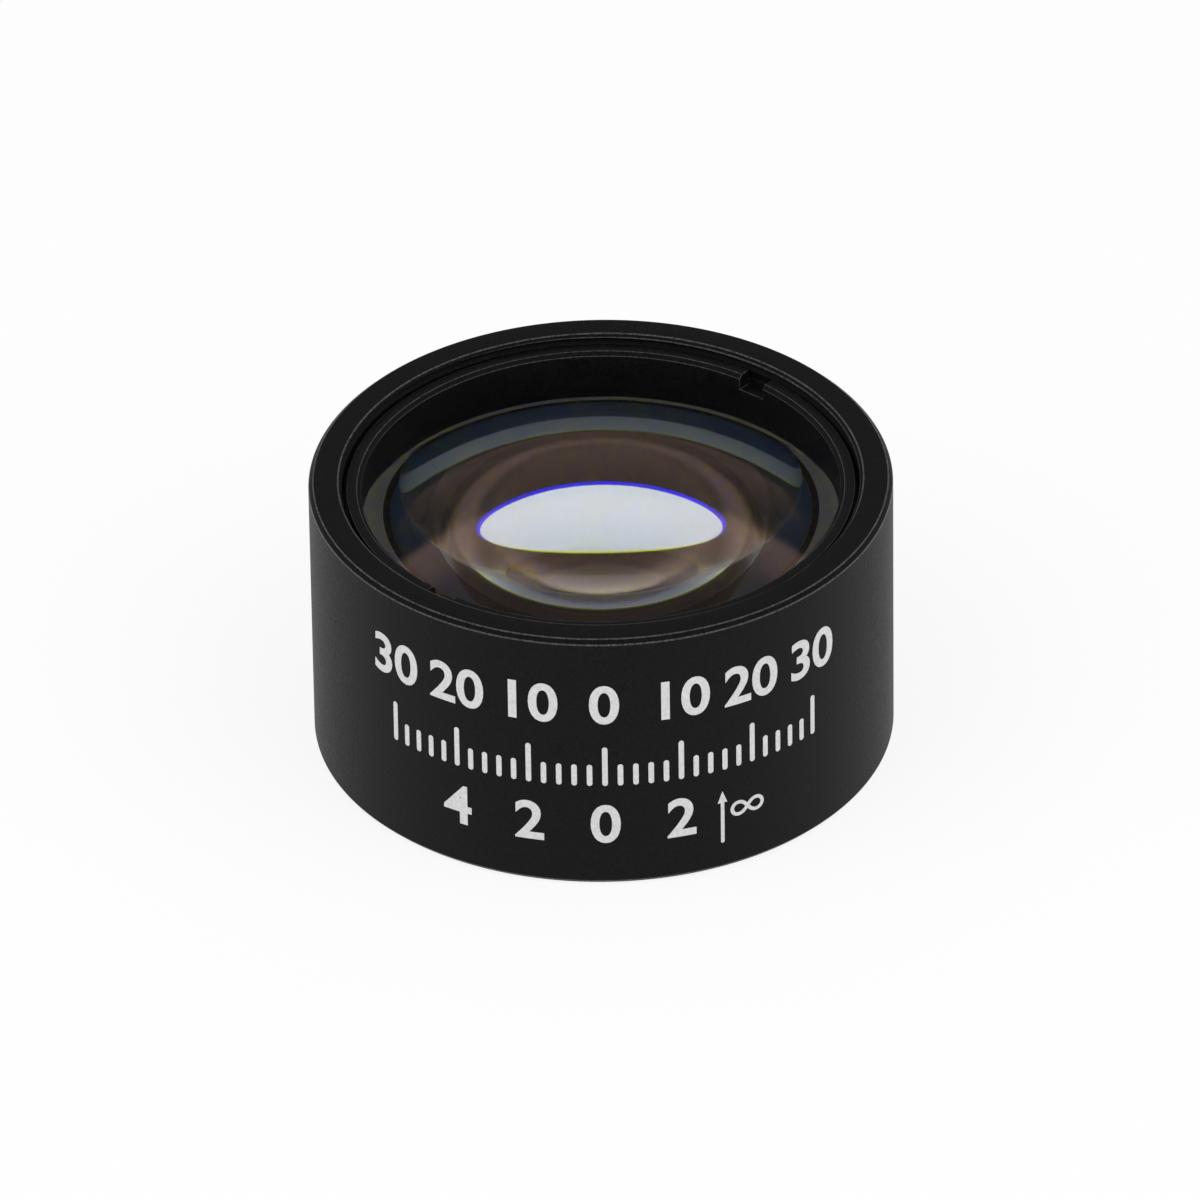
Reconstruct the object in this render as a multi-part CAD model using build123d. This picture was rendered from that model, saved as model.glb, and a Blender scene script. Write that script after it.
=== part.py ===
from build123d import *
import math
import os

# An air-spaced achromatic doublet in its turned housing, in millimetres.
# The origin is the centre of the base, +Z runs along the optical axis to the open mouth with the retaining ring.
# The housing is as tall as what it holds: its shoulder carries the rear element, the spacer ring, the front element
# and the retaining ring, one on the other, and the rim stands a little above that ring. This comes to 12.7.

# Housing
HOUSING_D = 25.4          # outside diameter, the standard one inch of optics mounts
HOUSING_WALL = 1.45       # wall round the threaded mouth
RIM_CHAMFER = 0.2         # outer edge of both rims
MOUTH_CHAMFER = 0.15      # inner edge of the mouth
THREAD_STEP = 0.3         # how far the thread's bore stands outside the bore that centres the glass
SHOULDER_T = 2.18         # thickness of the shoulder that the rear element stands on
SHOULDER_LEDGE = 1.0      # width of its step
BACK_CHAMFER = 0.1        # inner edge of the base opening
THREAD_RUN = 0.3          # thread left below the ring's foot, so that it can be tightened

# Retaining ring
RING_RECESS = 0.4         # from the rim down to the ring's top face
RING_H = 2.55             # from its top face down to the circle where its foot meets the glass
RING_WALL = 0.78          # from its thread to its inner wall
RING_NECK = 0.17          # how far the plain collar above the thread stands in
RING_NECK_H = 0.5         # height of that collar
RING_BEVEL = 0.17         # inner edge of its top face
FOOT_FLARE = 0.3          # how far the inner wall opens at the foot
FOOT_FLARE_H = 0.7        # height over which it opens
SLOT_W = 1.3              # spanner slots, across
SLOT_DEPTH = 0.7          # spanner slots, below the top face
SLOT_COUNT = 2
SLOT_ANGLE = 50.2         # direction of the first slot from +X, in degrees

# Glass
ELEMENT_BEVEL = 0.1       # ground outer edges of both elements
CROWN_FRONT_R = 25.0      # biconvex front element, its curve towards the mouth
CROWN_REAR_R = 15.8       # its curve towards the rear element
CROWN_EDGE_T = 2.14       # thickness at the edge, between its two curves
FLINT_CURVE_STEP = 0.5    # how much tighter the hollow front of the rear element is than the crown above it
FLINT_REAR_R = 126.0      # its weak curve towards the base
FLINT_CT = 1.1            # its thickness on the axis, where it is thinnest
FLINT_LAND = 0.4          # flat ground ring around the hollow front

# Spacer ring
SPACER_T = 0.19           # where its cone meets the glass above
SPACER_CONTACT = 0.1      # from its inner edge out to that circle

# Fits
ELEMENT_CLEARANCE = 0.05  # between glass and bore, radial
THREAD_CLEARANCE = 0.05   # between the ring and the housing's thread, radial
SEAT_GAP = 0.01           # between faces that rest on each other


def sag(curve_r, r):
    """How far a sphere falls away from its apex at the distance r from the axis."""
    return curve_r - math.sqrt(curve_r**2 - r**2)


def slope(curve_r, r):
    """How steeply a sphere falls at the distance r from the axis."""
    return r / math.sqrt(curve_r**2 - r**2)


# Radii
housing_r = HOUSING_D / 2
thread_r = housing_r - HOUSING_WALL
element_bore_r = thread_r - THREAD_STEP
element_r = element_bore_r - ELEMENT_CLEARANCE
aperture_r = element_bore_r - SHOULDER_LEDGE
ring_r = thread_r - THREAD_CLEARANCE
ring_bore_r = ring_r - RING_WALL
foot_bore_r = ring_bore_r + FOOT_FLARE
foot_contact_r = (foot_bore_r + element_r) / 2
land_bore_r = element_r - FLINT_LAND
spacer_contact_r = land_bore_r + SPACER_CONTACT
flint_front_r = CROWN_REAR_R - FLINT_CURVE_STEP

# Heights, from the shoulder up
flint_rear = SHOULDER_T + SEAT_GAP - sag(FLINT_REAR_R, aperture_r)
flint_front = flint_rear + FLINT_CT
land_z = flint_front + sag(flint_front_r, land_bore_r)
spacer_base = land_z + SEAT_GAP
spacer_top = spacer_base + SPACER_T
crown_rear = spacer_top + SEAT_GAP - sag(CROWN_REAR_R, spacer_contact_r)
crown_front = crown_rear + sag(CROWN_REAR_R, element_r) + CROWN_EDGE_T + sag(CROWN_FRONT_R, element_r)
foot_z = crown_front + SEAT_GAP - sag(CROWN_FRONT_R, foot_contact_r)
ring_top = foot_z + RING_H
housing_h = ring_top + RING_RECESS


def foot_height(r):
    """The foot's cone, which touches the crown's front surface along one circle."""
    return foot_z - slope(CROWN_FRONT_R, foot_contact_r) * (r - foot_contact_r)


thread_end = foot_height(ring_r) - THREAD_RUN


def turned(*edges):
    """Turn a closed half section, drawn as radius and height, about the optical axis."""
    section = make_face(Curve() + list(edges))
    return revolve(Plane.XZ * section, Axis.Z)


def ball(curve_r, apex_z, bulge):
    """Sphere through apex_z on the axis, bulging up (1) or down (-1); its poles lie off to the sides of the glass."""
    return Pos(0, 0, apex_z - bulge * curve_r) * Rot(90, 0, 0) * Sphere(curve_r)


def blank(base_z, top_z):
    """The round slab that an element is ground from."""
    return Pos(0, 0, base_z) * Cylinder(element_r, top_z - base_z, align=(Align.CENTER, Align.CENTER, Align.MIN))


def with_ground_edges(element):
    """Bevel the two edges where the element's round side ends."""
    side = element.faces().filter_by(GeomType.CYLINDER)[0]
    return chamfer(side.edges().filter_by(lambda edge: edge.is_closed), ELEMENT_BEVEL)


def make_housing():
    outline = Polyline(
        (aperture_r + BACK_CHAMFER, 0),
        (housing_r - RIM_CHAMFER, 0),
        (housing_r, RIM_CHAMFER),
        (housing_r, housing_h - RIM_CHAMFER),
        (housing_r - RIM_CHAMFER, housing_h),
        (thread_r + MOUTH_CHAMFER, housing_h),
        (thread_r, housing_h - MOUTH_CHAMFER),
        (thread_r, thread_end),
        (element_bore_r, thread_end),
        (element_bore_r, SHOULDER_T),
        (aperture_r, SHOULDER_T),
        (aperture_r, BACK_CHAMFER),
        close=True,
    )
    return turned(outline)


def make_retaining_ring():
    neck_r = ring_r - RING_NECK
    outline = Polyline(
        (ring_bore_r + RING_BEVEL, ring_top),
        (neck_r, ring_top),
        (neck_r, ring_top - RING_NECK_H),
        (ring_r, ring_top - RING_NECK_H),
        (ring_r, foot_height(ring_r)),
        (foot_bore_r, foot_height(foot_bore_r)),
        (ring_bore_r, foot_z + FOOT_FLARE_H),
        (ring_bore_r, ring_top - RING_BEVEL),
        close=True,
    )
    ring = turned(outline)
    slot = Pos(ring_r, 0, ring_top) * Box(4 * RING_WALL, SLOT_W, 2 * SLOT_DEPTH)
    for number in range(SLOT_COUNT):
        ring -= Rot(0, 0, SLOT_ANGLE + number * 360 / SLOT_COUNT) * slot
    return ring


def make_front_element():
    crown = blank(crown_rear, crown_front)
    crown &= ball(CROWN_FRONT_R, crown_front, 1)
    crown &= ball(CROWN_REAR_R, crown_rear, -1)
    return with_ground_edges(crown)


def make_spacer_ring():
    fall = slope(CROWN_REAR_R, spacer_contact_r)
    outline = Polyline(
        (land_bore_r, spacer_base),
        (element_r, spacer_base),
        (element_r, spacer_top + fall * (element_r - spacer_contact_r)),
        (land_bore_r, spacer_top + fall * (land_bore_r - spacer_contact_r)),
        close=True,
    )
    return turned(outline)


def make_rear_element():
    flint = blank(flint_rear, land_z)
    flint &= ball(FLINT_REAR_R, flint_rear, -1)
    flint -= ball(flint_front_r, flint_front, -1)
    return with_ground_edges(flint)


PARTS = {
    "housing": make_housing,
    "retaining_ring": make_retaining_ring,
    "front_element": make_front_element,
    "spacer_ring": make_spacer_ring,
    "rear_element": make_rear_element,
}

os.makedirs("parts", exist_ok=True)
for node, make in PARTS.items():
    piece = make()
    piece.label = node
    export_step(piece, f"parts/{node}.step")
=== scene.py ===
# An air-spaced achromatic doublet in its black anodised housing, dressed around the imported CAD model.
# Sizes are in metres, in the model's own frame: +Z along the optical axis, z = 0 at the base.
import math

import bpy
from bpy.props import FloatProperty, FloatVectorProperty, PointerProperty
from mathutils import Matrix, Vector


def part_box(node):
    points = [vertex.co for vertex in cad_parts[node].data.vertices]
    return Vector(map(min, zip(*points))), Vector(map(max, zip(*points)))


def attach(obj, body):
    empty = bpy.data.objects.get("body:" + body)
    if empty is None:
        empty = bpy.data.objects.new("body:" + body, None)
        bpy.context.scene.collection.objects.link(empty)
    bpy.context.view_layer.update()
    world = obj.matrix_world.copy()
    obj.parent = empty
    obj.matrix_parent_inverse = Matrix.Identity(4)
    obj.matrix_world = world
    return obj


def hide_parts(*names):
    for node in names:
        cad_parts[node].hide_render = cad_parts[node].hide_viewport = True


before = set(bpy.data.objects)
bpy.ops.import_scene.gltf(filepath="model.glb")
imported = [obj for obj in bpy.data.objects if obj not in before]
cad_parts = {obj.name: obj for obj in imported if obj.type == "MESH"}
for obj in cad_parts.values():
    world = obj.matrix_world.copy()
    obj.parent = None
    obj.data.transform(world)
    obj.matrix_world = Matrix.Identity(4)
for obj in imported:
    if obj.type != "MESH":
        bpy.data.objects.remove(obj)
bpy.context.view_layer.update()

bl_info = {
    "name": "Doublet lens",
    "version": (1, 0, 0),
    "blender": (4, 5, 0),
    "location": "View3D > Sidebar > Doublet",
    "description": "Builds a housed achromatic doublet around its CAD solids",
    "category": "Object",
}

MM = 0.001
HOUSING_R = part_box("housing")[1].x
HOUSING_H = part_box("housing")[1].z
RING_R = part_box("retaining_ring")[1].x
RING_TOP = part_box("retaining_ring")[1].z
ELEMENT_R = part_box("front_element")[1].x

BODY = "root"
TURN = 2 * math.pi
WHITE = (1, 1, 1, 1)
NOISE_SPAN = {"From Min": 0.3, "From Max": 0.7}  # a noise texture's values hardly leave it

METAL_STEPS = 256                # faces round the housing and the ring
GLASS_STEPS = 192                # faces round each element
THREAD_STEPS = 128               # faces in one turn of the thread
ROUNDED_FROM = math.radians(25)  # edges that turn by more than this get a small round
SMOOTH_UP_TO = math.radians(35)  # edges that turn by less than this look smooth
SAME_POINT = 1e-7                # points nearer to each other than this are one
OVERCUT = 0.05 * MM              # how far the thread's cutter stands out of the wall that it cuts

SCALE_STEP = math.radians(3)     # between neighbouring lines of the scale
SCALE_REACH = 15                 # lines on each side of its zero
LONG_LINE = 5                    # every fifth line is long, with a figure above it
LOWER_FIGURES = (-10, -5, 0, 5)  # lines with a figure below them too
STRIP = 0.25 * MM                # width of the strips that follow the barrel's curve

# how bright the room is at each height, from the horizon at 0 to overhead at 1, behind the lens and all round it
BEHIND = ((0.0, 0.3), (0.3, 0.25), (0.45, 0.14), (0.49, 0.05), (0.57, 0.05), (0.61, 1.2), (0.68, 1.1), (0.76, 0.4),
          (0.9, 0.25), (1.0, 0.4))
AROUND = ((0.0, 0.6), (0.12, 0.6), (0.25, 0.9), (0.45, 0.9), (0.55, 0.3), (0.65, 0.5), (0.75, 0.45), (0.86, 0.4),
          (1.0, 0.5))
SOFTBOX_WAY = (0.58, -0.37, 0.73)  # from the lens to the right softbox, which the left one mirrors
SENSOR = 36.0                      # width of the camera's sensor in mm


# Colours and materials


def colour(code):
    """An sRGB hex value as Blender's linear colour."""
    parts = [int(code[i : i + 2], 16) / 255 for i in (0, 2, 4)]
    return tuple(c / 12.92 if c <= 0.04045 else ((c + 0.055) / 1.055) ** 2.4 for c in parts)


def add(tree, kind, inputs=None, **settings):
    """Add a node. Each input is a value, or the output that feeds it."""
    made = tree.nodes.new(kind)
    for name, value in settings.items():
        setattr(made, name, value)
    for name, value in (inputs or {}).items():
        socket = made.inputs[name]
        if isinstance(value, bpy.types.NodeSocket):
            tree.links.new(value, socket)
        else:
            socket.default_value = value
    return made


def new_tree(name):
    """A material with only its output node."""
    material = bpy.data.materials.new(name)
    material.use_nodes = True
    tree = material.node_tree
    tree.nodes.clear()
    return material, tree, tree.nodes.new("ShaderNodeOutputMaterial")


def anodised_aluminium(name, tone, roughness, gloss):
    """Turned, etched and dyed black: an even satin with a fine speckle, and faint rings that the tool left."""
    material, tree, out = new_tree(name)
    feed = 0.06 * MM     # between the rings
    speckle = 0.12 * MM  # the etched pits are finer, and are drawn as coarse as they need to show
    place = add(tree, "ShaderNodeTexCoord").outputs["Object"]
    x, y, z = add(tree, "ShaderNodeSeparateXYZ", {0: place}).outputs
    across = add(tree, "ShaderNodeCombineXYZ", {"X": x, "Y": y})
    radius = add(tree, "ShaderNodeVectorMath", {0: across.outputs[0]}, operation="LENGTH")
    section = add(tree, "ShaderNodeCombineXYZ", {"X": radius.outputs["Value"], "Y": z})
    rings = add(tree, "ShaderNodeTexNoise", {"Vector": section.outputs[0], "Scale": 1 / feed, "Detail": 1.0},
                noise_dimensions="2D")
    pits = add(tree, "ShaderNodeTexNoise", {"Vector": place, "Scale": 1 / speckle, "Detail": 2.0})
    shade = add(tree, "ShaderNodeMapRange", {"Value": pits.outputs["Fac"], **NOISE_SPAN,
                                             "To Min": 0.4, "To Max": 1.9})
    tint = add(tree, "ShaderNodeVectorMath", {0: (*tone,), "Scale": shade.outputs[0]}, operation="SCALE")
    rough = add(tree, "ShaderNodeMapRange", {"Value": pits.outputs["Fac"], **NOISE_SPAN,
                                             "To Min": roughness - 0.06, "To Max": roughness + 0.06})
    turned = add(tree, "ShaderNodeBump", {"Height": rings.outputs["Fac"], "Strength": 0.12, "Distance": 0.01 * MM})
    etched = add(tree, "ShaderNodeBump", {"Height": pits.outputs["Fac"], "Strength": 0.6, "Distance": 0.02 * MM,
                                          "Normal": turned.outputs[0]})
    shader = add(tree, "ShaderNodeBsdfPrincipled", {
        "Base Color": tint.outputs[0], "Roughness": rough.outputs[0], "Specular IOR Level": gloss,
        "Normal": etched.outputs[0]})
    tree.links.new(shader.outputs[0], out.inputs[0])
    return material


def coated_glass(name, s, ior, spread=0.0):
    """Polished optical glass under a thin anti-reflection coat: clear, with a weak brownish mirror image.

    The coat loses its hold at grazing angles and where light is totally reflected inside. With a spread, warm and
    blue light bend by slightly different amounts, which puts yellow and blue fringes on bright edges."""
    material, tree, out = new_tree(name)
    mirrored = add(tree, "ShaderNodeFresnel", {"IOR": ior})
    held = add(tree, "ShaderNodeValToRGB", {"Fac": mirrored.outputs[0]})
    coated, bare = held.color_ramp.elements
    coated.position, coated.color = 0.1, (*s.coat, 1)
    bare.position, bare.color = 0.6, WHITE
    mirror = add(tree, "ShaderNodeBsdfAnisotropic", {"Color": held.outputs[0], "Roughness": 0.0})
    if spread:
        shares = (((*s.warm, 1), ior - spread), ((*s.blue, 1), ior + spread))
    else:
        shares = ((WHITE, ior),)
    bent = None
    for share, index in shares:
        one = add(tree, "ShaderNodeBsdfRefraction", {"Color": share, "IOR": index, "Roughness": 0.0})
        bent = add(tree, "ShaderNodeAddShader", {0: bent.outputs[0], 1: one.outputs[0]}) if bent else one
    both = add(tree, "ShaderNodeMixShader", {0: mirrored.outputs[0], 1: bent.outputs[0], 2: mirror.outputs[0]})
    tree.links.new(both.outputs[0], out.inputs[0])
    return material


def ground_glass(name, tone, shade=None, ior=1.5):
    """A face ground with fine grit: matt, and darker at a slant, where the glass keeps its light inside."""
    material, tree, out = new_tree(name)
    grit = 0.08 * MM  # the real pits are finer, and are drawn as coarse as they need to show
    place = add(tree, "ShaderNodeTexCoord").outputs["Object"]
    pits = add(tree, "ShaderNodeTexNoise", {"Vector": place, "Scale": 1 / grit, "Detail": 2.0})
    relief = add(tree, "ShaderNodeBump", {"Height": pits.outputs["Fac"], "Strength": 0.3, "Distance": 0.01 * MM})
    steep = add(tree, "ShaderNodeBsdfDiffuse", {"Color": (*tone, 1), "Roughness": 0.5, "Normal": relief.outputs[0]})
    slant = add(tree, "ShaderNodeBsdfDiffuse", {"Color": (*(shade or tone), 1), "Roughness": 0.5,
                                                "Normal": relief.outputs[0]})
    share = add(tree, "ShaderNodeFresnel", {"IOR": ior})
    both = add(tree, "ShaderNodeMixShader", {0: share.outputs[0], 1: steep.outputs[0], 2: slant.outputs[0]})
    tree.links.new(both.outputs[0], out.inputs[0])
    return material


def laser_engraving(name, tone):
    """The black coat burnt away down to the metal: matt and pale, and a little uneven in tone."""
    material, tree, out = new_tree(name)
    blotch = 0.15 * MM  # a few of the laser's lines wide
    place = add(tree, "ShaderNodeTexCoord").outputs["Object"]
    burn = add(tree, "ShaderNodeTexNoise", {"Vector": place, "Scale": 1 / blotch, "Detail": 3.0})
    shade = add(tree, "ShaderNodeMapRange", {"Value": burn.outputs["Fac"], **NOISE_SPAN,
                                             "To Min": 0.88, "To Max": 1.06})
    tint = add(tree, "ShaderNodeVectorMath", {0: (*tone,), "Scale": shade.outputs[0]}, operation="SCALE")
    shader = add(tree, "ShaderNodeBsdfPrincipled", {"Base Color": tint.outputs[0], "Roughness": 0.75})
    tree.links.new(shader.outputs[0], out.inputs[0])
    return material


# Modelling


def deselect_all():
    if bpy.context.object and bpy.context.object.mode != "OBJECT":
        bpy.ops.object.mode_set(mode="OBJECT")
    bpy.ops.object.select_all(action="DESELECT")


def pick(piece):
    """Make a piece the active one, and the only one selected."""
    deselect_all()
    bpy.context.view_layer.objects.active = piece
    piece.select_set(True)


def pick_edges(piece, wanted):
    """Go into edit mode with only the wanted edges selected."""
    bpy.ops.object.mode_set(mode="EDIT")
    bpy.ops.mesh.select_mode(type="EDGE")
    bpy.ops.mesh.select_all(action="DESELECT")
    bpy.ops.object.mode_set(mode="OBJECT")
    for edge in piece.data.edges:
        edge.select = wanted(edge)
    bpy.ops.object.mode_set(mode="EDIT")


class Section:
    """The half section of a turned piece. One point is extruded along it, and the whole is spun about the axis."""

    def __init__(self, name, r, z):
        deselect_all()
        bpy.ops.mesh.primitive_plane_add(size=MM)
        self.piece = bpy.context.object
        self.piece.name = self.piece.data.name = name
        bpy.ops.object.mode_set(mode="EDIT")
        bpy.ops.mesh.select_all(action="SELECT")
        bpy.ops.mesh.merge(type="CENTER")
        bpy.ops.transform.translate(value=(r, 0, z))
        self.at = (r, z)

    def line(self, *points):
        for r, z in points:
            step = (r - self.at[0], 0, z - self.at[1])
            bpy.ops.mesh.extrude_vertices_move(TRANSFORM_OT_translate={"value": step})
            self.at = (r, z)

    def arc(self, r, centre_z, steps):
        """Along a sphere centred on the axis, to the radius r."""
        curve_r = math.hypot(self.at[0], self.at[1] - centre_z)
        up = 1 if self.at[1] > centre_z else -1
        turn = math.asin(r / curve_r) - math.asin(self.at[0] / curve_r)
        # spin turns a point at the top of its circle towards -X for a positive angle
        bpy.ops.mesh.spin(steps=steps, angle=-up * turn, center=(0, 0, centre_z), axis=(0, 1, 0))
        self.at = (r, centre_z + up * math.sqrt(curve_r**2 - r**2))

    def close(self):
        """Join the last point to the first."""
        bpy.ops.mesh.select_all(action="SELECT")
        bpy.ops.mesh.edge_face_add()
        bpy.ops.mesh.delete(type="ONLY_FACE")

    def turned(self, steps):
        bpy.ops.mesh.select_all(action="SELECT")
        bpy.ops.mesh.spin(steps=steps, angle=TURN, center=(0, 0, 0), axis=(0, 0, 1))
        bpy.ops.mesh.select_all(action="SELECT")
        bpy.ops.mesh.remove_doubles(threshold=SAME_POINT)
        bpy.ops.mesh.normals_make_consistent(inside=False)
        bpy.ops.object.mode_set(mode="OBJECT")
        return self.piece


def cut_away(piece, cutter):
    """Take the cutter's shape out of the piece, and the cutter out of the scene."""
    pick(piece)
    cut = piece.modifiers.new("cut", "BOOLEAN")
    cut.operation, cut.solver, cut.object = "DIFFERENCE", "EXACT", cutter
    bpy.ops.object.modifier_apply(modifier=cut.name)
    bpy.data.objects.remove(cutter)


def soften_edges(piece, width):
    """A small round on each edge, as tumbling and handling leave it, in the piece's second material: a lighter tone
    that stands for worn edges and also paints a highlight along them.
    """
    pick(piece)
    edge = piece.modifiers.new("edge", "BEVEL")
    edge.width, edge.segments = width, 2
    edge.limit_method, edge.angle_limit = "ANGLE", ROUNDED_FROM
    edge.material = 1
    bpy.ops.object.modifier_apply(modifier=edge.name)


def smooth(piece):
    """Smooth shading that leaves flat faces flat."""
    pick(piece)
    bpy.ops.object.shade_smooth_by_angle(angle=SMOOTH_UP_TO)
    level = piece.modifiers.new("level", "WEIGHTED_NORMAL")
    level.keep_sharp = True
    bpy.ops.object.modifier_apply(modifier=level.name)


def finish_piece(piece, replaced=None):
    """Attach a piece to its body, and hide the CAD node that it takes the place of."""
    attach(piece, BODY)
    if replaced:
        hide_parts(replaced)


def sag(curve_r, r):
    """How far a sphere falls away from its apex at the distance r from the axis."""
    return curve_r - math.sqrt(curve_r**2 - r**2)


def slope(curve_r, r):
    """How steeply a sphere falls at the distance r from the axis."""
    return r / math.sqrt(curve_r**2 - r**2)


# Settings


def length(name, description, default):
    return FloatProperty(name=name, description=description, default=default * MM, unit="LENGTH", precision=5)


def angle(name, description, default):
    return FloatProperty(name=name, description=description, default=math.radians(default), subtype="ANGLE")


def tone(name, description, code):
    return FloatVectorProperty(name=name, description=description, default=colour(code), subtype="COLOR", size=3,
                               min=0.0, max=1.0)


class DoubletHousing(bpy.types.PropertyGroup):
    wall: length("Wall", "Wall round the threaded mouth", 1.45)
    rim_chamfer: length("Rim chamfer", "Outer edge of both rims", 0.2)
    mouth_chamfer: length("Mouth chamfer", "Inner edge of the mouth", 0.15)
    shoulder: length("Shoulder", "Thickness of the shoulder under the rear element", 2.18)
    ledge: length("Ledge", "Width of the shoulder's step", 1.0)
    thread_step: length("Thread step", "From the bore round the glass out to the thread's bore", 0.3)
    thread_reach: length("Thread reach", "From the retaining ring's top down to the end of the thread's bore", 3.04)
    thread_pitch: length("Thread pitch", "Rise of the thread in one turn", 0.5)
    thread_depth: length("Thread depth", "Depth of the thread's groove", 0.2)
    thread_start: length("Thread start", "Least height of the groove above the end of its bore", 0.3)
    groove: FloatProperty(name="Groove", description="Half the groove's width at the wall, as a share of the pitch",
                          default=0.36)
    run_out: angle("Run-out", "Direction in which the thread's last crest runs out through the chamfer", 84)
    edge: length("Edge", "Round on the turned edges", 0.04)
    black: tone("Black", "The dyed anodic coat", "0a0a0b")
    # the edge tone below is lighter: partly edge wear, partly a painted highlight along the rounded edges
    wear_and_highlight: tone("Worn", "The coat on the edges, where handling polishes and thins it", "3a3a3a")


class DoubletRing(bpy.types.PropertyGroup):
    height: length("Height", "From the top face down to the circle where the foot meets the glass", 2.55)
    wall: length("Wall", "From its thread to its inner wall", 0.78)
    neck: length("Neck", "How far the plain collar above the thread stands in", 0.17)
    neck_height: length("Neck height", "Height of the plain collar", 0.5)
    bevel: length("Bevel", "Inner edge of the top face", 0.17)
    flare: length("Flare", "How far the inner wall opens at the foot", 0.3)
    flare_height: length("Flare height", "Height over which the inner wall opens", 0.7)
    slot_width: length("Slot width", "Spanner slots, across", 1.3)
    slot_depth: length("Slot depth", "Spanner slots, below the top face", 0.7)
    slot_angle: angle("Slot angle", "Direction of the first slot", 50.2)
    edge: length("Edge", "Round on the turned edges", 0.035)
    black: tone("Black", "The dyed anodic coat", "0a0a0b")
    # the edge tone below is lighter: partly edge wear, partly a painted highlight along the rounded edges
    wear_and_highlight: tone("Worn", "The coat on the edges, where handling polishes and thins it", "3a3a3a")
    # the spacer tone is lighter and browner than its black anodic coat: a painted warm glint where the spacer shows
    # through the glass
    spacer: tone("Spacer", "The thinner, brownish coat of the spacer ring", "3a3430")


class DoubletGlass(bpy.types.PropertyGroup):
    crown_front: length("Crown front", "Radius of curvature of the surface towards the mouth", 25.0)
    crown_rear: length("Crown rear", "Radius of curvature of the crown's other surface", 15.8)
    crown_edge: length("Crown edge", "Thickness of the crown at its edge", 2.14)
    flint_front: length("Flint front", "Radius of curvature of the flint's hollow surface", 15.3)
    flint_rear: length("Flint rear", "Radius of curvature of the surface towards the base", 126.0)
    flint_centre: length("Flint centre", "Thickness of the flint on the axis", 1.1)
    flint_land: length("Flint land", "Flat ground ring round the hollow surface", 0.4)
    flint_polish: length("Flint polish", "How far the polished rear goes beyond the base opening's edge", 0.05)
    bevel: length("Bevel", "Ground outer edges", 0.1)
    spacer: length("Spacer", "Air gap's thickness where the spacer meets the crown", 0.19)
    spacer_contact: length("Spacer contact", "From the spacer's inner edge out to where it meets the crown", 0.1)
    seat_gap: length("Seat gap", "Between faces that rest on each other", 0.01)
    crown_ior: FloatProperty(name="Crown IOR", description="Refractive index of the crown glass", default=1.52)
    flint_ior: FloatProperty(name="Flint IOR", description="Refractive index of the flint glass", default=1.67)
    crown_spread: FloatProperty(name="Crown spread", default=0.0072, precision=4,
                                description="Index of blue light above the middle, and of warm light below it")
    flint_spread: FloatProperty(name="Flint spread", default=0.008, precision=4,
                                description="Index of blue light above the middle, and of warm light below it")
    warm: tone("Warm light", "The red and green that the glass lets through", "f3fa00")
    blue: tone("Blue light", "The blue that the glass lets through", "0000fe")
    coat: tone("Coat", "What the anti-reflection coat leaves of the mirror image", "f2c2a8")
    frost: tone("Frost", "The ground edges", "dfe4e8")
    crown_frost: tone("Crown frost", "The crown's ground edge, darkened with ink", "9a938c")
    shade: tone("Shade", "The ground edges, seen at a slant", "5c6a7c")


class DoubletMarks(bpy.types.PropertyGroup):
    height: length("Figure height", "Height of the figures and of the scale's long lines", 2.0)
    short_height: length("Short line", "Height of the scale's short lines", 1.1)
    stroke: length("Stroke", "Width of the scale's lines", 0.24)
    depth: length("Depth", "Thickness of the marks, most of it sunk in the barrel", 0.05)
    proud: length("Proud", "How far the marks stand out of the barrel", 0.01)
    figure_foot: length("Figure foot", "Height of the figures' feet above the base", 8.4)
    scale_foot: length("Scale foot", "Height of the scale's feet above the base", 5.2)
    lower_foot: length("Lower foot", "Height of the lower figures' feet above the base", 2.2)
    arrow_foot: length("Arrow foot", "Height of the arrow's foot above the base", 1.4)
    arrow_length: length("Arrow length", "From the arrow's foot to the middle of its head", 2.3)
    arrow_stroke: length("Arrow stroke", "Width of the arrow's shaft", 0.168)
    arrow_aside: length("Arrow aside", "From the front of the barrel round to the arrow", 5.18)
    head_half: length("Head width", "Half the width of the disc that the arrow's head is made from", 0.26)
    head_reach: length("Head reach", "From the middle of the arrow's head to its tip", 0.4)
    sign_height: length("Sign height", "Height of the sign for the far side", 0.78)
    sign_aside: length("Sign aside", "From the arrow to the sign's middle, and up from its foot to the sign's", 1.2)
    white: tone("White", "The engraved metal", "d7d7d7")


class DoubletStage(bpy.types.PropertyGroup):
    floor: tone("Floor", "The pale floor", "f4f4f4")
    floor_size: length("Floor size", "Side of the floor", 2000.0)
    floor_white: FloatProperty(name="Floor white", default=0.85,
                               description="Share of plain white in the floor, where it is seen as the background")
    lens: FloatProperty(name="Lens", description="Focal length of the camera in mm on a 36 mm sensor", default=467.73)
    elevation: angle("Elevation", "How far the camera looks down", 34.1345)
    roll: angle("Roll", "Turn of the camera about its own axis", 0.8422)
    distance: length("Distance", "From the camera to the mouth's centre along the view", 676.314)
    aside: length("Aside", "Camera's offset to the side", 0.10505)
    below: length("Below", "Camera's offset downwards", 5.34176)
    softbox: FloatProperty(name="Softbox", description="Radiance of the two softboxes", default=1.5)
    softbox_size: length("Softbox size", "Side of each softbox", 360.0)
    softbox_distance: length("Softbox distance", "From the lens to each softbox", 400.0)
    surround: FloatProperty(name="Surround", description="Strength of the white surround on matt surfaces",
                            default=0.6)
    inside: FloatProperty(name="Inside", description="Strength of the surround on matt faces behind the glass",
                          default=2.0)


# Pieces


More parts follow.
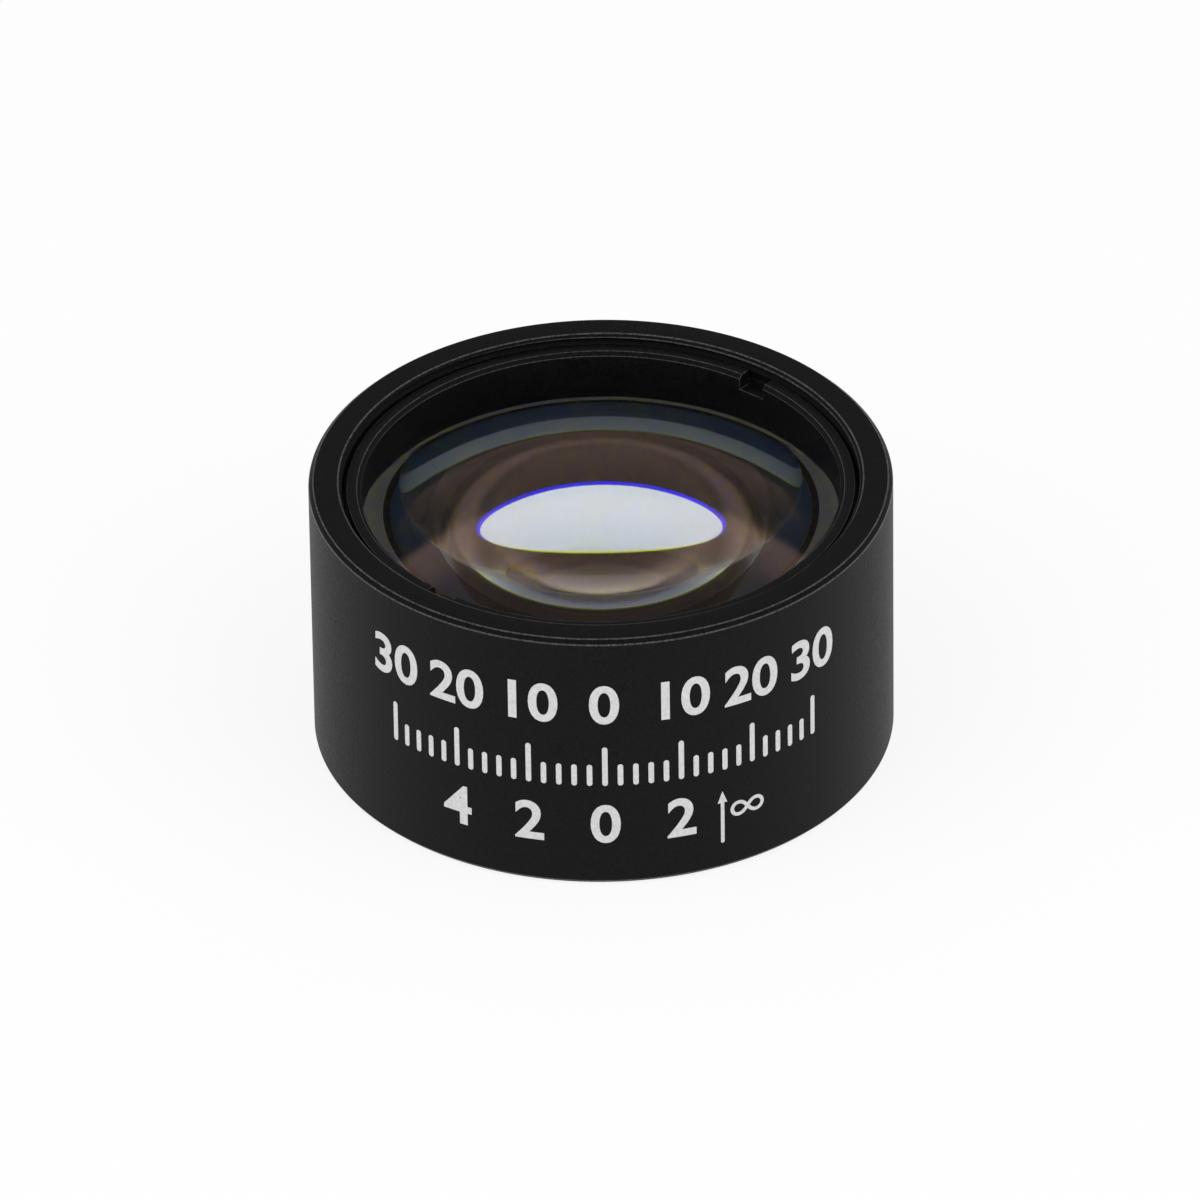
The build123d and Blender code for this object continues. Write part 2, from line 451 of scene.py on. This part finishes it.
class BuildHousing(bpy.types.Operator):
    """Turned housing with its shoulder and threaded mouth"""
    bl_idname = "doublet.housing"
    bl_label = "Housing"

    def execute(self, context):
        s = context.scene.doublet_housing
        outside = HOUSING_R - context.scene.doublet_marks.proud
        thread_r = HOUSING_R - s.wall
        bore_r = thread_r - s.thread_step
        aperture_r = bore_r - s.ledge
        thread_end = RING_TOP - s.thread_reach
        # only the small round breaks the base opening's edge: a wider chamfer would let light graze past it
        section = Section("housing_body", aperture_r, 0)
        section.line(
            (outside - s.rim_chamfer, 0),
            (outside, s.rim_chamfer),
            (outside, HOUSING_H - s.rim_chamfer),
            (outside - s.rim_chamfer, HOUSING_H),
            (thread_r + s.mouth_chamfer, HOUSING_H),
            (thread_r, HOUSING_H - s.mouth_chamfer),
            (thread_r, thread_end),
            (bore_r, thread_end),
            (bore_r, s.shoulder),
            (aperture_r, s.shoulder),
        )
        section.close()
        body = section.turned(METAL_STEPS)
        body.data.materials.append(anodised_aluminium("black_anodised_housing", s.black, 0.5, 0.11))
        # the second material, on the edge rounds, is lighter: partly edge wear, partly a painted highlight
        body.data.materials.append(anodised_aluminium("housing_edges_wear_and_highlight", s.wear_and_highlight, 0.35, 0.3))
        soften_edges(body, s.edge)
        cut_away(body, self.thread_groove(s, thread_r, thread_end))
        smooth(body)
        finish_piece(body, "housing")
        return {"FINISHED"}

    def thread_groove(self, s, thread_r, bottom):
        """A right-handed coil with the thread's V section. It rises out through the mouth's chamfer at the back."""
        half = s.groove * s.thread_pitch
        # the V's sides run on straight from the wall to the coil's inner face
        inner_r = thread_r - OVERCUT
        inner_half = half * (1 + OVERCUT / s.thread_depth)
        # the last crest runs out where the groove's upper edge reaches the chamfer
        meets = HOUSING_H - s.mouth_chamfer - half
        first = meets - math.floor((meets - bottom) / s.thread_pitch) * s.thread_pitch
        lowest = first + s.thread_start
        section = Section("thread_cutter", inner_r, lowest - inner_half)
        section.line((thread_r + s.thread_depth, lowest), (inner_r, lowest + inner_half))
        section.close()
        bpy.ops.object.mode_set(mode="OBJECT")
        coil = section.piece
        screw = coil.modifiers.new("coil", "SCREW")
        screw.axis, screw.angle, screw.screw_offset = "Z", TURN, s.thread_pitch
        screw.iterations = math.ceil((HOUSING_H + s.thread_pitch - bottom) / s.thread_pitch)
        screw.steps = screw.render_steps = THREAD_STEPS
        screw.use_merge_vertices = False
        bpy.ops.object.modifier_apply(modifier=screw.name)
        # turned so that the groove meets the chamfer in the right direction
        rise = (meets - lowest) % s.thread_pitch
        coil.rotation_euler.z = s.run_out - rise / s.thread_pitch * TURN
        bpy.ops.object.transform_apply(location=False, rotation=True, scale=False)
        # its open ends are closed
        bpy.ops.object.mode_set(mode="EDIT")
        bpy.ops.mesh.select_all(action="SELECT")
        bpy.ops.mesh.remove_doubles(threshold=SAME_POINT)
        bpy.ops.mesh.select_all(action="SELECT")
        bpy.ops.mesh.fill_holes(sides=3)
        bpy.ops.mesh.select_all(action="SELECT")
        bpy.ops.mesh.normals_make_consistent(inside=False)
        bpy.ops.object.mode_set(mode="OBJECT")
        return coil


class BuildRing(bpy.types.Operator):
    """Slotted retaining ring that holds the glass down"""
    bl_idname = "doublet.ring"
    bl_label = "Retaining ring"

    def execute(self, context):
        s = context.scene.doublet_ring
        bore_r = RING_R - s.wall
        foot_r = bore_r + s.flare
        neck_r = RING_R - s.neck
        contact_r = (foot_r + ELEMENT_R) / 2
        foot_z = RING_TOP - s.height
        fall = slope(context.scene.doublet_glass.crown_front, contact_r)

        def foot(r):
            """The foot's cone, which touches the crown along one circle."""
            return foot_z - fall * (r - contact_r)

        section = Section("retaining_ring_body", bore_r + s.bevel, RING_TOP)
        section.line(
            (neck_r, RING_TOP),
            (neck_r, RING_TOP - s.neck_height),
            (RING_R, RING_TOP - s.neck_height),
            (RING_R, foot(RING_R)),
            (foot_r, foot(foot_r)),
            (bore_r, foot_z + s.flare_height),
            (bore_r, RING_TOP - s.bevel),
        )
        section.close()
        ring = section.turned(METAL_STEPS)
        ring.data.materials.append(anodised_aluminium("black_anodised_ring", s.black, 0.45, 0.11))
        # the second material, on the edge rounds, is lighter: partly edge wear, partly a painted highlight
        ring.data.materials.append(anodised_aluminium("ring_edges_wear_and_highlight", s.wear_and_highlight, 0.35, 0.3))
        for way in (s.slot_angle, s.slot_angle + math.pi):
            cut_away(ring, self.slot(s, way))
        soften_edges(ring, s.edge)
        smooth(ring)
        finish_piece(ring, "retaining_ring")
        return {"FINISHED"}

    def slot(self, s, way):
        """A cutter that goes right through the ring's wall, in the given direction."""
        deselect_all()
        bpy.ops.mesh.primitive_cube_add(size=1)
        slot = bpy.context.object
        slot.dimensions = (4 * s.wall, s.slot_width, 2 * s.slot_depth)
        slot.rotation_euler.z = way
        slot.location = (RING_R * math.cos(way), RING_R * math.sin(way), RING_TOP)
        bpy.ops.object.transform_apply(location=True, rotation=True, scale=True)
        return slot


class BuildGlass(bpy.types.Operator):
    """Crown and flint elements, polished and coated, with ground edges"""
    bl_idname = "doublet.glass"
    bl_label = "Glass elements"

    def execute(self, context):
        s = context.scene.doublet_glass
        housing = context.scene.doublet_housing
        aperture_r = HOUSING_R - housing.wall - housing.thread_step - housing.ledge
        land_r = ELEMENT_R - s.flint_land
        contact_r = land_r + s.spacer_contact
        polished_r = ELEMENT_R - s.bevel

        # heights, from the shoulder up
        flint_rear = housing.shoulder + s.seat_gap - sag(s.flint_rear, aperture_r)
        flint_front = flint_rear + s.flint_centre
        land_z = flint_front + sag(s.flint_front, land_r)
        spacer_top = land_z + s.seat_gap + s.spacer
        crown_rear = spacer_top + s.seat_gap - sag(s.crown_rear, contact_r)
        crown_front = crown_rear + sag(s.crown_rear, ELEMENT_R) + s.crown_edge + sag(s.crown_front, ELEMENT_R)

        section = Section("crown_element", 0, crown_front)
        section.arc(polished_r, crown_front - s.crown_front, steps=48)
        top_edge = section.at[1]
        low_edge = crown_rear + sag(s.crown_rear, polished_r)
        section.line((ELEMENT_R, top_edge - s.bevel), (ELEMENT_R, low_edge + s.bevel), (polished_r, low_edge))
        section.arc(0, crown_rear + s.crown_rear, steps=64)
        crown = section.turned(GLASS_STEPS)

        section = Section("flint_element", 0, flint_front)
        section.arc(land_r, flint_front + s.flint_front, steps=64)
        low_edge = flint_rear + sag(s.flint_rear, polished_r)
        section.line((polished_r, land_z), (ELEMENT_R, land_z - s.bevel), (ELEMENT_R, low_edge + s.bevel),
                     (polished_r, low_edge))
        section.arc(0, flint_rear + s.flint_rear, steps=24)
        flint = section.turned(GLASS_STEPS)

        self.dress(crown, polished_r, polished_r, (
            coated_glass("crown_glass_front", s, s.crown_ior, s.crown_spread),
            coated_glass("crown_glass_rear", s, s.crown_ior),
            ground_glass("ground_crown_edge", s.crown_frost),
        ))
        self.dress(flint, land_r, aperture_r + s.flint_polish, (
            coated_glass("flint_glass_front", s, s.flint_ior),
            coated_glass("flint_glass_rear", s, s.flint_ior, s.flint_spread),
            ground_glass("ground_flint_edge", s.frost, s.shade, s.flint_ior),
            ground_glass("ground_flint_flats", s.frost),
        ))
        finish_piece(crown, "front_element")
        finish_piece(flint, "rear_element")
        return {"FINISHED"}

    def dress(self, piece, front_r, rear_r, materials):
        """Polished glass out to one radius in front and another behind, and beyond them ground edges and flats."""
        front, rear, side, flat = range(4)
        for material in materials:
            piece.data.materials.append(material)
        for face in piece.data.polygons:
            up = face.normal.z > 0
            if math.hypot(face.center.x, face.center.y) < (front_r if up else rear_r):
                face.material_index = front if up else rear
            else:
                face.material_index = flat if abs(face.normal.z) > 0.9 else side
            face.use_smooth = True
        self.sharpen(piece)

    def sharpen(self, piece):
        """Keep the polished faces' shading apart from the ground ones'."""
        pick(piece)
        kinds = {}
        for face in piece.data.polygons:
            for key in face.edge_keys:
                kinds.setdefault(key, set()).add(face.material_index)
        pick_edges(piece, lambda edge: len(kinds[edge.key]) > 1)
        bpy.ops.mesh.mark_sharp()
        bpy.ops.object.mode_set(mode="OBJECT")


class BuildSpacer(bpy.types.Operator):
    """Spacer ring between the two elements, as the CAD has it"""
    bl_idname = "doublet.spacer"
    bl_label = "Spacer ring"

    def execute(self, context):
        s = context.scene.doublet_ring
        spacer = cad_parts["spacer_ring"]
        spacer.data.materials.clear()
        # a black anodised spacer, drawn in a lighter brownish tone that paints a warm glint on it
        spacer.data.materials.append(anodised_aluminium("black_anodised_spacer_painted_glint", s.spacer, 0.5, 0.2))
        return {"FINISHED"}


class BuildMarks(bpy.types.Operator):
    """Graduated scale, its figures and an arrow to the far side, all engraved in white"""
    bl_idname = "doublet.marks"
    bl_label = "Marks"

    def execute(self, context):
        s = context.scene.doublet_marks
        barrel_r = HOUSING_R - s.proud
        step = SCALE_STEP * barrel_r
        flat = []
        for number in range(-SCALE_REACH, SCALE_REACH + 1):
            x = number * step
            if number % LONG_LINE:
                flat.append(self.bar(s, x, s.scale_foot, s.short_height, s.stroke))
            else:
                flat.append(self.bar(s, x, s.scale_foot, s.height, s.stroke))
                flat.append(self.figure(s, str(2 * abs(number)), x, s.figure_foot, s.height))
            if number in LOWER_FIGURES:
                flat.append(self.figure(s, str(2 * abs(number) // LONG_LINE), x, s.lower_foot, s.height))
        flat.append(self.bar(s, s.arrow_aside, s.arrow_foot, s.arrow_length, s.arrow_stroke))
        flat.append(self.arrow_head(s))
        flat.append(self.figure(s, "∞", s.arrow_aside + s.sign_aside, s.arrow_foot + s.sign_aside,
                                s.sign_height))
        marks = self.joined(flat)
        self.wrap(marks, s, barrel_r)
        marks.data.materials.clear()
        marks.data.materials.append(laser_engraving("engraved_white", s.white))
        finish_piece(marks)
        return {"FINISHED"}

    def bar(self, s, x, foot, height, width):
        """An upright stroke with the round ends that a cutter leaves."""
        deselect_all()
        bpy.ops.mesh.primitive_cube_add(size=1)
        bar = bpy.context.object
        bar.dimensions = (width, height, s.depth)
        bar.location = (x, foot + height / 2, 0)
        bpy.ops.object.transform_apply(location=True, rotation=False, scale=True)

        def through(edge):
            """Whether an edge runs through the bar's thickness."""
            near, far = (bar.data.vertices[end].co.z for end in edge.vertices)
            return abs(near - far) > s.depth / 2

        pick_edges(bar, through)
        bpy.ops.mesh.bevel(offset=0.49 * width, segments=4, affect="EDGES")
        bpy.ops.object.mode_set(mode="OBJECT")
        return bar

    def figure(self, s, text, x, foot, height):
        """A plain figure, made a mesh and then brought to its height."""
        deselect_all()
        bpy.ops.object.text_add()
        letters = bpy.context.object.data
        letters.body, letters.align_x = text, "CENTER"
        letters.size, letters.extrude, letters.resolution_u = 1.0, 0.5, 6
        # digits a little bolder than the font has them
        letters.offset = 0.02 if text.isdigit() else 0.0
        bpy.ops.object.convert(target="MESH")
        figure = bpy.context.object
        ys = [v.co.y for v in figure.data.vertices]
        size = height / (max(ys) - min(ys))
        figure.scale = (size, size, s.depth)
        figure.location = (x, foot - min(ys) * size, 0)
        bpy.ops.object.transform_apply(location=True, rotation=False, scale=True)
        return figure

    def arrow_head(self, s):
        """A slim head, from a three-sided disc."""
        deselect_all()
        bpy.ops.mesh.primitive_cylinder_add(vertices=3, radius=1, depth=1)
        head = bpy.context.object
        head.scale = (s.head_half, s.head_reach, s.depth)
        head.location = (s.arrow_aside, s.arrow_foot + s.arrow_length, 0)
        bpy.ops.object.transform_apply(location=True, rotation=False, scale=True)
        return head

    def joined(self, flat):
        deselect_all()
        for piece in flat:
            piece.select_set(True)
        bpy.context.view_layer.objects.active = flat[0]
        bpy.ops.object.join()
        marks = bpy.context.object
        marks.name = marks.data.name = "barrel_marks"
        return marks

    def wrap(self, marks, s, barrel_r):
        """Stand the flat marks up, cut them into narrow strips and bend them round the barrel."""
        marks.rotation_euler.x = math.pi / 2
        bpy.ops.object.transform_apply(location=False, rotation=True, scale=False)
        xs = [v.co.x for v in marks.data.vertices]
        left, right = min(xs), max(xs)
        bpy.ops.object.mode_set(mode="EDIT")
        cut = math.ceil(left / STRIP) * STRIP
        while cut < right:
            bpy.ops.mesh.select_all(action="SELECT")
            bpy.ops.mesh.bisect(plane_co=(cut, 0, 0), plane_no=(1, 0, 0))
            cut += STRIP
        bpy.ops.object.mode_set(mode="OBJECT")
        bend = marks.modifiers.new("bend", "SIMPLE_DEFORM")
        bend.deform_method, bend.deform_axis = "BEND", "Z"
        bend.angle = (right - left) / barrel_r
        bpy.ops.object.modifier_apply(modifier=bend.name)
        marks.location.y = -(barrel_r + s.proud - s.depth / 2)
        bpy.ops.object.transform_apply(location=True, rotation=False, scale=False)


class BuildStage(bpy.types.Operator):
    """Floor, surround, softboxes and camera"""
    bl_idname = "doublet.stage"
    bl_label = "Stage"

    def execute(self, context):
        s = context.scene.doublet_stage
        self.floor(s)
        self.surround(context.scene, s)
        self.softboxes(context.scene, s)
        self.camera(context.scene, s)
        return {"FINISHED"}

    def floor(self, s):
        """Matt white card, which takes the shadow. Seen as the background, it is nearly plain white."""
        deselect_all()
        bpy.ops.mesh.primitive_plane_add(size=s.floor_size)
        floor = bpy.context.object
        floor.name = "floor"
        material, tree, out = new_tree("matt_white_floor")
        rays = add(tree, "ShaderNodeLightPath").outputs
        outside = add(tree, "ShaderNodeMath", {0: rays["Is Camera Ray"], 1: rays["Is Glossy Ray"]},
                      operation="MAXIMUM")
        seen = add(tree, "ShaderNodeMath", {0: outside.outputs[0], 1: rays["Is Transmission Ray"]},
                   operation="MAXIMUM")
        share = add(tree, "ShaderNodeMath", {0: seen.outputs[0], 1: s.floor_white}, operation="MULTIPLY")
        matt = add(tree, "ShaderNodeBsdfDiffuse", {"Color": (*s.floor, 1)})
        plain = add(tree, "ShaderNodeEmission", {"Color": WHITE, "Strength": 1.0})
        both = add(tree, "ShaderNodeMixShader", {0: share.outputs[0], 1: matt.outputs[0], 2: plain.outputs[0]})
        tree.links.new(both.outputs[0], out.inputs[0])
        floor.data.materials.append(material)

    def surround(self, scene, s):
        """White to the camera, even light on matt surfaces, and the room with its dark bands in metal and glass."""
        scene.world = bpy.data.worlds.new("white_surround")
        scene.world.use_nodes = True
        tree = scene.world.node_tree
        tree.nodes.clear()
        out = tree.nodes.new("ShaderNodeOutputWorld")
        rays = add(tree, "ShaderNodeLightPath").outputs
        way = add(tree, "ShaderNodeTexCoord").outputs["Generated"]
        x, y, z = add(tree, "ShaderNodeSeparateXYZ", {0: way}).outputs
        across = add(tree, "ShaderNodeCombineXYZ", {"X": x, "Y": y})
        compass = add(tree, "ShaderNodeVectorMath", {0: across.outputs[0]}, operation="NORMALIZE")
        back = add(tree, "ShaderNodeSeparateXYZ", {0: compass.outputs[0]}).outputs["Y"]
        share = add(tree, "ShaderNodeMapRange", {"Value": back, "From Min": 0.1, "From Max": 0.9},
                    interpolation_type="SMOOTHSTEP")
        room = add(tree, "ShaderNodeMix", {0: share.outputs[0], 2: self.heights(tree, z, AROUND),
                                           3: self.heights(tree, z, BEHIND)})
        mirrored = add(tree, "ShaderNodeMath", {0: rays["Is Glossy Ray"], 1: rays["Is Transmission Ray"]},
                       operation="MAXIMUM")
        outside = add(tree, "ShaderNodeMix", {0: mirrored.outputs[0], 2: s.surround, 3: room.outputs[0]})
        # matt faces behind the glass get the lamps' light too, which reaches them only this way
        behind = add(tree, "ShaderNodeMath", {0: rays["Diffuse Depth"], 1: rays["Is Transmission Ray"]},
                     operation="MULTIPLY", use_clamp=True)
        light = add(tree, "ShaderNodeMix", {0: behind.outputs[0], 2: outside.outputs[0], 3: s.inside})
        level = add(tree, "ShaderNodeMix", {0: rays["Is Camera Ray"], 2: light.outputs[0], 3: 1.0})
        sky = add(tree, "ShaderNodeBackground", {"Color": WHITE, "Strength": level.outputs[0]})
        tree.links.new(sky.outputs[0], out.inputs[0])

    def heights(self, tree, z, levels):
        """The room's brightness at the height z."""
        ramp = add(tree, "ShaderNodeValToRGB", {"Fac": z})
        stops = ramp.color_ramp.elements
        for number, (at, level) in enumerate(levels):
            stop = stops[number] if number < 2 else stops.new(at)  # a new ramp has two stops
            stop.position, stop.color = at, (level, level, level, 1)
        return ramp.outputs[0]

    def softboxes(self, scene, s):
        """One to each side. They light matt surfaces, and no mirror image shows them."""
        x, y, z = SOFTBOX_WAY
        for name, side in (("softbox_left", -1), ("softbox_right", 1)):
            towards = Vector((side * x, y, z)).normalized()
            light = bpy.data.lights.new(name, "AREA")
            light.shape, light.size = "SQUARE", s.softbox_size
            light.energy = s.softbox * math.pi * light.size**2
            lamp = bpy.data.objects.new(name, light)
            scene.collection.objects.link(lamp)
            lamp.location = Vector((0, 0, HOUSING_H / 2)) + s.softbox_distance * towards
            lamp.rotation_euler = towards.to_track_quat("Z", "Y").to_euler()
            lamp.visible_glossy = lamp.visible_transmission = False

    def camera(self, scene, s):
        """From the front and above, towards the mouth's centre."""
        data = bpy.data.cameras.new("camera")
        data.lens, data.sensor_width = s.lens, SENSOR
        data.clip_start, data.clip_end = 0.05, 10.0
        cam = bpy.data.objects.new("camera", data)
        scene.collection.objects.link(cam)
        right = Vector((1, 0, 0))
        up = Vector((0, math.sin(s.elevation), math.cos(s.elevation)))
        forward = Vector((0, math.cos(s.elevation), -math.sin(s.elevation)))
        place = Vector((0, 0, HOUSING_H)) - s.aside * right - s.below * up - s.distance * forward
        x = math.cos(s.roll) * right - math.sin(s.roll) * up
        y = math.sin(s.roll) * right + math.cos(s.roll) * up
        z = -forward
        cam.matrix_world = Matrix.Translation(place) @ Matrix((x, y, z)).transposed().to_4x4()
        scene.camera = cam
        scene.view_settings.view_transform = "Standard"


class DoubletPanel(bpy.types.Panel):
    """Sizes and builders of the doublet"""
    bl_label = "Doublet lens"
    bl_idname = "VIEW3D_PT_doublet"
    bl_space_type = "VIEW_3D"
    bl_region_type = "UI"
    bl_category = "Doublet"

    def draw(self, context):
        for settings, builders in PARTS.items():
            box = self.layout.box()
            for builder in builders:
                box.operator(builder.bl_idname)
            group = getattr(context.scene, settings)
            for name in type(group).__annotations__:
                box.prop(group, name)


SETTINGS = {
    "doublet_housing": DoubletHousing,
    "doublet_ring": DoubletRing,
    "doublet_glass": DoubletGlass,
    "doublet_marks": DoubletMarks,
    "doublet_stage": DoubletStage,
}
PARTS = {
    "doublet_housing": [BuildHousing],
    "doublet_ring": [BuildRing, BuildSpacer],
    "doublet_glass": [BuildGlass],
    "doublet_marks": [BuildMarks],
    "doublet_stage": [BuildStage],
}
CLASSES = [*SETTINGS.values(), *(b for group in PARTS.values() for b in group), DoubletPanel]


def register():
    for cls in CLASSES:
        bpy.utils.register_class(cls)
    for name, cls in SETTINGS.items():
        setattr(bpy.types.Scene, name, PointerProperty(type=cls))


def unregister():
    for name in SETTINGS:
        delattr(bpy.types.Scene, name)
    for cls in reversed(CLASSES):
        bpy.utils.unregister_class(cls)


def main():
    register()
    bpy.ops.doublet.housing()
    bpy.ops.doublet.ring()
    bpy.ops.doublet.spacer()
    bpy.ops.doublet.glass()
    bpy.ops.doublet.marks()
    bpy.ops.doublet.stage()


if __name__ == "__main__":
    main()
